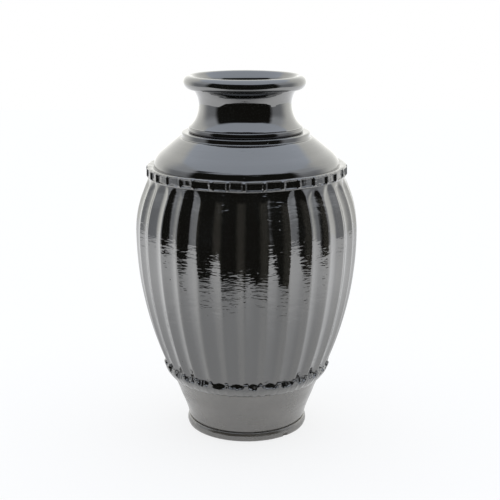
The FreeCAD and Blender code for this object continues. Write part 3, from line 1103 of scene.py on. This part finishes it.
@dataclass
class Belly:
    """The fluted belly, and the coil smoothed over its upper joint from inside."""

    flutes: FluteCount
    foot_radius: float = 86.0 * MM
    shoulder_radius: float = 102.6 * MM
    widest_height: float = 229.0 * MM
    wall: float = 8.0 * MM
    bevel: float = 6.0 * MM
    swell: float = 0.45 * MM
    ridge_slope: float = 0.46
    ridge_round: float = 0.14
    uneven_depth: float = 0.30
    head_wander: float = 10.0 * MM
    head_fade: float = 9.0 * MM
    head_arch: float = 7.0 * MM
    steep_from: float = 268.0 * MM
    steepness: float = 0.385

    def build(self) -> None:
        """Builds the belly's two pieces."""
        self.fluted_wall()
        self.seam_coil()

    def bow(self, widest: float, end: Point, count: int, upwards: bool) -> list[Point]:
        """Draws the arc between the belly's widest point and one of its ends.

        Args:
            widest: the radius at the widest point.
            end: the arc's other end.
            count: how many points to return.
            upwards: whether the points run upwards or downwards.

        Returns:
            The arc's points, without its last one.
        """
        across = widest - end[0]
        rise = end[1] - self.widest_height
        radius = (across**2 + rise**2) / (2 * across)
        limit = math.asin(rise / radius)
        starts_low = (rise < 0) == upwards
        share = np.arange(count) / count
        swept = (1 - share) * limit if starts_low else share * limit
        centre = widest - radius
        return [
            (centre + radius * math.cos(a), self.widest_height + radius * math.sin(a)) for a in swept
        ]

    def steep_head(self, widest: float, head: Point, height: float) -> float:
        """Finds how far in the wall may be near its head, where it was pushed upright.

        Args:
            widest: the radius at the widest point.
            head: the wall's upper end.
            height: the height in question.

        Returns:
            The least radius at that height.
        """
        if height < self.steep_from:
            return 0.0
        bow = self.bow(widest, head, 200, True)
        start = float(np.interp(self.steep_from, [z for r, z in bow], [r for r, z in bow]))
        return start - (height - self.steep_from) * self.steepness

    def fluted_wall(self) -> None:
        """The wall with its flutes: shallow hollows side by side, with rounded ridges between them."""
        joint = top_of("foot_wall")
        high = top_of("fluted_belly")
        widest = reach_of("fluted_belly") - self.swell
        foot = (self.foot_radius, joint)
        head = (self.shoulder_radius, high)
        inner = widest - self.wall
        inner_head = (self.shoulder_radius - 5.6 * MM, high - self.bevel)
        inner_foot = (self.foot_radius - self.wall + 1.0 * MM, joint)
        foot_bevel = (self.foot_radius - self.wall - 2.0 * MM, bottom_of("fluted_belly"))
        skin = [*self.bow(widest, foot, 76, True), *self.bow(widest, head, 32, True)]
        skin = [(max(r, self.steep_head(widest, head, z)), z) for r, z in skin]
        back = [
            *straight(head, inner_head, 2),
            *self.bow(inner, inner_head, 9, False),
            *self.bow(inner, inner_foot, 20, False),
            *chain(inner_foot, 2, foot_bevel, 2, foot),
        ]
        blank = turned("fluted_belly_gouged", skin, back, self.flutes.columns)
        hand = HandWork("flutes", Finish.BLACK_GLAZE)
        number, off_middle, angle = self.flutes.cells(hand)
        slope = hand.size("Ridge slope", self.ridge_slope)
        rounding = hand.size("Ridge round", self.ridge_round)
        head_height = hand.size("Flute head", bottom_of("upper_pressed_coil") + 1.0 * MM)
        fade = hand.size("Head fade", self.head_fade)
        arch = hand.size("Head arch", self.head_arch)
        uneven = hand.size("Uneven depth", self.uneven_depth)
        swell = hand.size("Swell", self.swell)
        to_ridge = 1.0 - off_middle
        rounded = (to_ridge * to_ridge + rounding * rounding) ** 0.5 - rounding
        hollow = rounded * 2.0 - rounded * rounded
        depth = slope * hand.radius * (math.pi / self.flutes.count / 2)
        depth = depth * (1.0 + (hand.draw(number, 4.0) - 0.5) * uneven)
        wander = hand.ring_noise(angle, 6.0, 17.0, hand.z * 3.0) * self.head_wander
        head_at = head_height + wander - arch * off_middle * off_middle
        head_share = 1.0 - hand.graph.ramp(hand.z, head_at - fade, head_at)
        slow = hand.ring_noise(angle, 3.4, 27.0, hand.z * 26.0) * swell * hand.skin
        hand.move_to(hand.radius - depth * (hollow * head_share * hand.skin) + slow, angle, hand.z)
        # Ridges are marked thin, so they are painted lighter brown: partly thin glaze, partly painted
        # highlight.
        hand.store("thin", (1.0 - hollow) * head_share)
        place_piece(hand.finished(blank), "fluted_belly", Finish.BLACK_GLAZE)

    def seam_coil(self) -> None:
        """The coil smoothed over the shoulder joint from inside."""
        low = bottom_of("shoulder_seam_coil")
        high = top_of("shoulder_seam_coil")
        reach = reach_of("shoulder_seam_coil")
        middle = (low + high) / 2
        upper = (reach - 9.3 * MM, high)
        lower = (reach - 0.2 * MM, low)
        marks = Throwing(ring_height=0.2 * MM, wobble=0.8 * MM, seed=51.0)
        piece = PlainPiece("shoulder_seam_coil_smoothed", "shoulder_seam_coil", Finish.INNER_GLAZE, marks)
        skin = through([upper, (reach - 10.6 * MM, middle), lower], 40)
        piece.build(skin, through([lower, (reach - 6.4 * MM, middle), upper], 20))


@dataclass
class LowerBand:
    """The thin coil on the foot joint: smoothed down below, torn and dented above."""

    flutes: FluteCount
    reach: float = 94.6 * MM
    foot_inset: float = 3.2 * MM
    head_rise: float = 0.6 * MM
    dent_depth: float = 1.9 * MM
    dent_slope: float = 0.30
    dent_middle: float = 0.84
    dent_half: float = 0.30
    least_width: float = 0.66
    more_width: float = 0.34
    lift: float = 0.10
    raggedness: float = 0.75
    tick_height: float = 1.1 * MM
    foot_waviness: float = 3.0 * MM
    head_waviness: float = 1.6 * MM

    def build(self) -> None:
        """Builds the coil, with one ragged dent under each flute."""
        low = bottom_of("lower_pressed_coil") + self.foot_inset
        high = top_of("lower_pressed_coil") + self.head_rise
        reach = self.reach
        tall = high - low
        side = [(-5.0, 0.23), (-2.0, 0.50), (-0.6, 0.72), (0.0, 0.86), (-0.9, 0.95), (-4.2, 1.0)]
        skin = through(
            [*spaced(reach, low, [(-9.4, -0.6), (-8.0, 0.5)]), *spaced(reach, low, side, tall)], 64
        )
        back = straight((reach - 5.4 * MM, high - 0.6 * MM), (reach - 12.5 * MM, low + 0.4 * MM), 8)
        blank = turned("lower_coil_torn", skin, back, self.flutes.columns * 2)
        hand = HandWork("torn_coil", Finish.BLACK_GLAZE)
        number, off_middle, angle = self.flutes.cells(hand)
        depth = hand.size("Dent depth", self.dent_depth)
        slope = hand.size("Dent slope", self.dent_slope)
        middle = hand.size("Dent middle", self.dent_middle)
        half = hand.size("Dent half height", self.dent_half)
        share = (hand.z - low) * (1.0 / tall)
        torn = hand.ring_noise(angle, 26.0, 9.0, hand.z * 150.0)
        across = off_middle / (self.least_width + hand.draw(number, 6.0) * self.more_width)
        along = (share + (hand.draw(number, 8.0) - 0.5) * self.lift - middle) / half
        away = (across * across + along * along) ** 0.5 + torn * self.raggedness
        dent = (1.0 - hand.graph.ramp(away, 0.78, 1.0)) * hand.skin
        floor = reach - depth - (hand.z - (low + tall * (self.dent_middle - self.dent_half))) * slope
        sunk = hand.graph.math("MINIMUM", floor, hand.radius)
        ticks = hand.ring_noise(angle, 48.0, 13.0, hand.z * 40.0)
        edge = hand.ring_noise(angle, 15.0, 3.0, 0.0)
        rough = ticks * self.tick_height * hand.skin * (0.35 + share)
        height = hand.z + edge * self.foot_waviness * (1.0 - share) + torn * self.head_waviness * share
        hand.move_to(hand.radius + (sunk - hand.radius) * dent + rough, angle, height)
        # The dent rims, ragged streaks and the band's lower strip are marked thin and painted lighter brown:
        # partly thin glaze, partly painted highlight.
        thin_highlight_strip = 1.0 - hand.graph.ramp(share + torn * 0.2, 0.30, 0.55)
        thin_highlight_streaks = hand.graph.ramp(torn + ticks, 0.0, 0.35) * 0.5
        hand.store("thin", (1.0 - dent) * (0.55 + thin_highlight_streaks) + thin_highlight_strip * 0.6)
        place_piece(hand.finished(blank), "lower_pressed_coil", Finish.BLACK_GLAZE)


@dataclass
class UpperBand:
    """The flat coil on the shoulder joint, pressed all round with a fingertip."""

    presses: int = 36
    columns_each: int = 24
    crowd: float = 0.35
    press_depth: float = 1.9 * MM
    least_press: float = 0.70
    more_press: float = 0.45
    width: float = 0.80
    raggedness: float = 0.14
    unevenness: float = 0.14
    pinch: float = 0.3 * MM
    grain: float = 0.7 * MM
    sway: float = 2.6 * MM
    tilt: float = 0.006
    seed: float = 2.0

    def build(self) -> None:
        """Builds the coil: each press is a hollow with a thin wall of clay left on its four sides."""
        low = bottom_of("upper_pressed_coil") - 0.6 * MM
        high = top_of("upper_pressed_coil") + 0.3 * MM
        reach = reach_of("upper_pressed_coil")
        tall = high - low
        skin = through(
            [
                *spaced(reach, low, [(-3.6, 0.3), (-0.9, 0.0)]),
                *spaced(reach, low, [(0.0, 0.14), (0.1, 0.50), (-0.1, 0.80)], tall),
                *spaced(reach, high, [(-1.4, -0.4), (-3.6, 0.0), (-8.4, -0.7)]),
            ],
            72,
        )
        back = straight((reach - 9.6 * MM, high - 2.0 * MM), (reach - 5.2 * MM, low + 1.0 * MM), 8)
        blank = turned("upper_coil_pressed", skin, back, self.presses * self.columns_each)
        hand = HandWork("finger_presses", Finish.BLACK_GLAZE)
        count = hand.size("Presses", float(self.presses))
        depth = hand.size("Press depth", self.press_depth)
        seed = hand.size("Seed", self.seed)
        tilt = hand.size("Tilt", self.tilt)
        number, off_middle, angle = hand.cells(count, self.crowd)
        uneven = hand.ring_noise(angle, 4.6, seed, 0.0) * self.unevenness
        share = (hand.z - low) * (1.0 / tall)
        ragged = hand.ring_noise(angle, 22.0, seed + 4.0, hand.z * 90.0)
        off_mid_height = abs(share - 0.50 + (hand.draw(number, 1.0) - 0.5) * 0.10) * 2.0
        wide = self.width + (hand.draw(number, 2.0) - 0.5) * 0.14
        beside = 1.0 - hand.graph.ramp(off_middle + ragged * self.raggedness, wide - 0.12, wide + 0.08)
        inside = 1.0 - hand.graph.ramp(off_mid_height + ragged * self.raggedness, 0.54, 0.80)
        pressed = self.least_press + hand.draw(number, 3.0) * self.more_press
        press = beside * inside * pressed * hand.skin
        pinch = (1.0 - beside) * inside * self.pinch * hand.skin
        rough = ragged * self.grain * hand.skin
        sway = hand.ring_noise(angle, 1.8, seed + 9.0, 0.0) * self.sway
        height = hand.z + hand.x * tilt + sway + ragged * self.grain
        hand.move_to(hand.radius - press * depth + pinch + rough, angle + uneven, height)
        # The walls between presses and the rims above and below them are marked thin and painted lighter
        # brown: partly thin glaze, partly painted highlight.
        thin_rim_highlight = beside * hand.graph.ramp(1.0 - inside, 0.1, 0.9)
        hand.store("thin", (1.0 - press) * 0.55 + thin_rim_highlight * 0.5)
        place_piece(hand.finished(blank), "upper_pressed_coil", Finish.BLACK_GLAZE)


@dataclass
class Leaning:
    """What the upper sections share: they dried a little askew and lean together above the belly."""

    lean: float = -0.022
    columns: int = 320

    def leaning(self, ring_height: float, ring_pitch: float, wobble: float, seed: float) -> Throwing:
        """Describes the marks of a section that leans.

        Args:
            ring_height: how high the turning rings stand out.
            ring_pitch: how far apart they are.
            wobble: how far the wall is out of round.
            seed: which draw of noise it has.

        Returns:
            The marks.
        """
        return Throwing(ring_height, ring_pitch, wobble, self.lean, top_of("fluted_belly"), seed)


@dataclass
class Shoulder(Leaning):
    """The dome above the belly with its low rim, and the collar that the neck stands on."""

    joint_radius: float = 102.4 * MM
    rim_radius: float = 70.2 * MM
    rim_height: float = 5.4 * MM
    wall: float = 7.0 * MM
    bore: float = 54.4 * MM

    def build(self) -> None:
        """Builds the dome and the collar."""
        self.dome()
        self.collar()

    def dome(self) -> None:
        """The dome: a round knee, a straight slope, and a soft upright rim at its top."""
        joint = top_of("fluted_belly")
        low = bottom_of("shoulder")
        high = top_of("shoulder")
        radius = self.joint_radius
        knee = [(0.0, -1.0), (-0.1, 5.0), (-1.6, 11.0), (-6.2, 17.6), (-14.4, 24.6), (-22.8, 31.5)]
        rim = [(3.0, -0.5), (1.0, -0.3), (0.3, 0.5)]
        skin = through(
            [
                *spaced(radius, joint, knee),
                *spaced(self.rim_radius, high - self.rim_height, rim),
                *spaced(self.rim_radius, high, [(0.1, -1.0), (-0.6, -0.2), (-2.4, 0.1), (-6.5, 0.0)]),
            ],
            150,
        )
        inner_knee = (radius - 11.6 * MM, joint + 10.9 * MM)
        inner_joint = (radius - 5.4 * MM, low)
        top = (self.rim_radius - 6.5 * MM, high)
        bore = (self.bore, high), (self.bore, high - self.wall)
        back = [
            *chain(top, 3, bore[0], 5, bore[1], 18, inner_knee),
            *through([inner_knee, (radius - 8.2 * MM, joint + 2.0 * MM), inner_joint], 10),
            *straight(inner_joint, (radius, joint - 1.0 * MM), 4),
        ]
        marks = self.leaning(0.10 * MM, 4.5 * MM, 0.7 * MM, 61.0)
        piece = PlainPiece("shoulder_dome", "shoulder", Finish.BLACK_GLAZE, marks, self.columns)
        piece.build(skin, back)

    def collar(self) -> None:
        """The collar: a low ring with soft edges."""
        low = bottom_of("neck_collar")
        high = top_of("neck_collar")
        reach = reach_of("neck_collar")
        lower = spaced(reach, low, [(-2.2, -0.2), (-0.5, 0.3), (0.0, 1.6)])
        upper = spaced(reach, high, [(-0.1, -2.2), (-0.9, -0.7), (-2.8, 0.1)])
        back = chain(upper[-1], 6, (self.bore, high), 8, (self.bore, low), 6, lower[0])
        marks = self.leaning(0.05 * MM, 3.0 * MM, 0.5 * MM, 71.0)
        piece = PlainPiece("neck_collar_turned", "neck_collar", Finish.BLACK_GLAZE, marks, self.columns)
        piece.build(through([*lower, *upper], 44), back)


@dataclass
class Mouth(Leaning):
    """The waisted neck and the rolled lip on it."""

    base_radius: float = 61.1 * MM
    waist_radius: float = 50.9 * MM
    flare_radius: float = 57.3 * MM
    waist_share: float = 0.56
    wall: float = 7.0 * MM
    throat_inset: float = 8.5 * MM
    lip_crest: float = 59.5 * MM

    def build(self) -> None:
        """Builds the neck and the lip."""
        self.neck()
        self.lip()

    @staticmethod
    def cove(end: Point, waist: Point, count: int, from_waist: bool) -> list[Point]:
        """Draws the arc between one end of the neck and its waist, where the arc stands upright.

        Args:
            end: the arc's end at the base or at the lip.
            waist: its other end.
            count: how many points to return.
            from_waist: whether the points run from the waist to the end.

        Returns:
            The arc's points, without its last one.
        """
        across = end[0] - waist[0]
        rise = end[1] - waist[1]
        radius = (across**2 + rise**2) / (2 * across)
        limit = math.asin(rise / radius)
        share = np.arange(count) / count
        swept = share * limit if from_waist else (1 - share) * limit
        return [(waist[0] + radius - radius * math.cos(a), waist[1] + radius * math.sin(a)) for a in swept]

    def neck(self) -> None:
        """The neck: a tube that narrows to its waist and flares to the lip."""
        low = bottom_of("neck")
        high = top_of("neck")
        waist = (self.waist_radius, low + (high - low) * self.waist_share)
        base = (self.base_radius, low)
        flare = (self.flare_radius, high)
        throat = (self.flare_radius - self.throat_inset, high)
        throat_waist = (self.waist_radius - self.wall, waist[1])
        throat_base = (self.base_radius - self.wall + 0.4 * MM, low)
        skin = [
            *straight((base[0] + 1.0 * MM, low - 0.4 * MM), (base[0], low + 0.2 * MM), 3),
            *self.cove(base, waist, 60, False),
            *self.cove(flare, waist, 56, True),
            *straight(flare, (flare[0] + 1.2 * MM, high + 0.9 * MM), 3),
        ]
        back = [
            *straight((flare[0], high + 0.9 * MM), throat, 4),
            *self.cove(throat, throat_waist, 16, False),
            *self.cove(throat_base, throat_waist, 16, True),
            *straight(throat_base, (base[0], low - 0.4 * MM), 4),
        ]
        marks = self.leaning(0.09 * MM, 4.0 * MM, 0.5 * MM, 81.0)
        piece = PlainPiece("neck_thrown", "neck", Finish.BLACK_GLAZE, marks, self.columns)
        piece.build(skin, back)

    def lip(self) -> None:
        """The lip: a thick roll with a flattened face, a bead under it, and a funnel into the throat."""
        high = top_of("rolled_lip")
        joint = top_of("neck")
        throat = (self.flare_radius - self.throat_inset, joint)
        widest = (reach_of("rolled_lip") - 0.25 * MM, (joint + high) / 2 + 0.2 * MM)
        start = (self.flare_radius - 0.3 * MM, joint - 0.1 * MM)
        funnel = [
            *spaced(self.lip_crest, high, [(0.0, -0.1), (-2.4, -0.9), (-5.3, -3.6)]),
            *spaced(throat[0], high, [(2.3, -7.0), (0.9, -10.5)]),
            throat,
        ]
        skin = [*arc(start, widest, funnel[0], 96), *through(funnel, 60)]
        marks = self.leaning(0.06 * MM, 5.0 * MM, 0.9 * MM, 91.0)
        piece = PlainPiece("rolled_lip_thrown", "rolled_lip", Finish.BLACK_GLAZE, marks, self.columns)
        piece.build(skin, straight(throat, start, 6))


# ---------------------------------------------------------------------------------------------------
# Table, light tent and camera
# ---------------------------------------------------------------------------------------------------


@dataclass
class Studio:
    """A white table in a light tent that is open and dark towards the camera."""

    table_front: float = -0.50
    table_back: float = 3.0
    table_half_width: float = 1.3
    table_white: tuple = colour(0.96, 0.96, 0.96)
    shadow_share: float = 0.20
    # Painted shade and painted light on the table, seen only in reflections.
    painted_front_shade: float = 0.86
    painted_side_light: float = 0.74
    painted_light_rise: tuple = (0.06, 0.60)
    opening_half_angle: float = math.radians(71.0)
    opening_turn: float = math.radians(4.0)
    opening_top: float = math.radians(42.0)
    opening_soft: float = math.radians(7.0)
    top_soft: float = 0.07
    back_rise: tuple = (math.radians(96.0), math.radians(128.0))
    high_rise: tuple = (math.radians(8.0), math.radians(30.0))
    low_side: tuple = colour(0.58, 0.60, 0.63)
    high_side: tuple = colour(1.02, 1.06, 1.12)
    back_light: tuple = colour(1.46, 1.46, 1.40)
    opening_dark: tuple = colour(0.022, 0.021, 0.017)
    top_light: tuple = colour(1.16, 1.25, 1.40)

    def build(self) -> None:
        """Builds the table and the tent's light."""
        self.table()
        self.tent()

    def table(self) -> None:
        """The table top, which keeps a soft shadow of the pot, and which in reflections is painted darker at
        its front middle and brighter to the sides.
        """
        x = self.table_half_width
        corners = [
            (-x, self.table_front, 0.0),
            (x, self.table_front, 0.0),
            (x, self.table_back, 0.0),
            (-x, self.table_back, 0.0),
        ]
        mesh = bpy.data.meshes.new("table")
        mesh.from_pydata(corners, [], [(0, 1, 2, 3)])
        top = bpy.data.objects.new("table", mesh)
        bpy.context.scene.collection.objects.link(top)
        material = bpy.data.materials.new("table_white")
        material.use_nodes = True
        graph = Graph(material.node_tree)
        path = graph.node("ShaderNodeLightPath")
        glossy = Value(graph, path.outputs["Is Glossy Ray"])
        seen = graph.math("MAXIMUM", Value(graph, path.outputs["Is Camera Ray"]), glossy)
        paper = graph.node("ShaderNodeBsdfDiffuse", sockets={"Color": self.table_white})
        # Seen only in reflections: painted shade at the table's front middle and painted light towards its
        # sides.
        across = abs(graph.axes(graph.node("ShaderNodeTexCoord").outputs["Object"])[0])
        painted_glow = self.painted_front_shade + graph.ramp(across, *self.painted_light_rise) * self.painted_side_light
        strength = 1.0 + glossy * (painted_glow - 1.0)
        plain = graph.node("ShaderNodeEmission", sockets={"Color": colour(1, 1, 1), "Strength": strength})
        sockets = {0: seen * (1.0 - self.shadow_share), 1: paper.outputs[0], 2: plain.outputs[0]}
        surface = graph.node("ShaderNodeMixShader", sockets=sockets)
        graph.node("ShaderNodeOutputMaterial", sockets={"Surface": surface.outputs[0]})
        mesh.materials.append(material)

    def tent(self) -> None:
        """The tent: a bright top, dimmer sides, a white back, and the dark opening in front."""
        world = bpy.data.worlds.new("light_tent")
        world.use_nodes = True
        bpy.context.scene.world = world
        graph = Graph(world.node_tree)
        direction = graph.node("ShaderNodeTexCoord").outputs["Generated"]
        x, y, z = graph.axes(direction)
        azimuth = abs(graph.math("ARCTAN2", x, -y) + self.opening_turn)
        elevation = graph.math("ARCSINE", z)
        half = self.opening_half_angle
        opening = 1.0 - graph.ramp(azimuth, half - self.opening_soft, half + self.opening_soft)
        back = graph.ramp(azimuth, *self.back_rise)
        high = graph.ramp(elevation, *self.high_rise)
        top = graph.ramp(elevation, self.opening_top - self.top_soft, self.opening_top + self.top_soft)
        near = graph.blend(high, self.low_side, self.high_side)
        sides = graph.blend(back, near, self.back_light)
        walls = graph.blend(opening, sides, self.opening_dark)
        light = graph.blend(top, walls, self.top_light)
        tent = graph.node("ShaderNodeBackground", sockets={"Color": light, "Strength": 1.0})
        white = graph.node("ShaderNodeBackground", sockets={"Color": colour(1, 1, 1), "Strength": 1.0})
        seen = graph.node("ShaderNodeLightPath").outputs["Is Camera Ray"]
        sockets = {0: seen, 1: tent.outputs[0], 2: white.outputs[0]}
        surface = graph.node("ShaderNodeMixShader", sockets=sockets)
        graph.node("ShaderNodeOutputWorld", sockets={"Surface": surface.outputs[0]})


@dataclass
class Viewpoint:
    """Where the camera stands: in front of the pot, a little above it, looking down at its middle."""

    distance: float = 1.1917
    height: float = 0.5048
    pitch: float = math.radians(14.19)
    lens: float = 78.62
    shift: float = 0.0066
    sensor: float = 36.0

    def build(self) -> None:
        """Builds the camera."""
        data = bpy.data.cameras.new("camera")
        data.lens = self.lens
        data.sensor_width = self.sensor
        data.shift_x = self.shift
        camera = bpy.data.objects.new("camera", data)
        camera.location = Vector((0.0, -self.distance, self.height))
        camera.rotation_euler = Euler((math.pi / 2 - self.pitch, 0.0, 0.0))
        bpy.context.scene.collection.objects.link(camera)
        bpy.context.scene.camera = camera
        bpy.context.scene.view_settings.view_transform = "Standard"


def main() -> None:
    """Builds the pot from the foot up, then the table, the light and the camera."""
    logging.basicConfig(level=logging.INFO, format="%(name)s: %(message)s")
    flutes = FluteCount()
    sections = [
        Foot(),
        LowerBand(flutes),
        Belly(flutes),
        UpperBand(),
        Shoulder(),
        Mouth(),
        Studio(),
        Viewpoint(),
    ]
    for section in sections:
        section.build()


if __name__ == "__main__":
    main()
